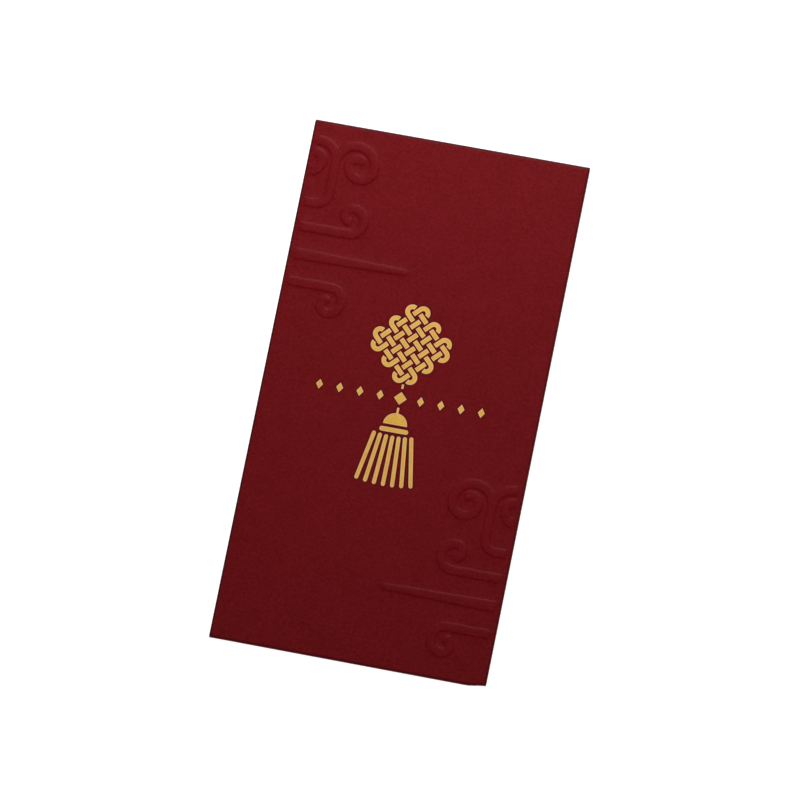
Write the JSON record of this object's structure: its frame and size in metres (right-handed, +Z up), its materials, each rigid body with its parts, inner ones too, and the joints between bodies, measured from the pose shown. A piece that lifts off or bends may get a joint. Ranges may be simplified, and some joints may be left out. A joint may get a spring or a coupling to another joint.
{
  "type": "red gift envelope",
  "caption": "Flat oblong gift envelope of thick red paper with a fold-over closing flap, glued back seams, a gold foil knot and tassel, and embossed clouds.",
  "frame": {"origin": "middle of the envelope's footprint, on the surface that it lies on", "axes": "+X to the right across the front panel, +Y along the envelope towards the top fold, +Z up, out of the front panel; the envelope lies on its back"},
  "size_m": [0.09, 0.17, 0.0028],
  "materials": {
    "paper": "matte",
    "foil": "satin",
    "glue": "satin"
  },
  "bodies": {
    "pocket": {"front_panel": "paper", "back_panel": "paper", "left_seam_flap": "paper", "right_seam_flap": "paper", "top_crease": "paper", "bottom_crease": "paper", "left_crease": "paper", "right_crease": "paper", "left_glue_line": "glue", "right_glue_line": "glue", "foil_knot": "foil", "foil_bead_row": "foil", "foil_tassel": "foil"},
    "flap": {"closing_flap": "paper"}
  },
  "joints": [
    {"name": "flap_fold", "type": "hinge", "parent": "pocket", "child": "flap", "pos_m": [0, 0.08374, 0.00126], "axis": [1, 0, 0], "range_deg": [0, 180], "deforming": ["top_crease"]}
  ]
}
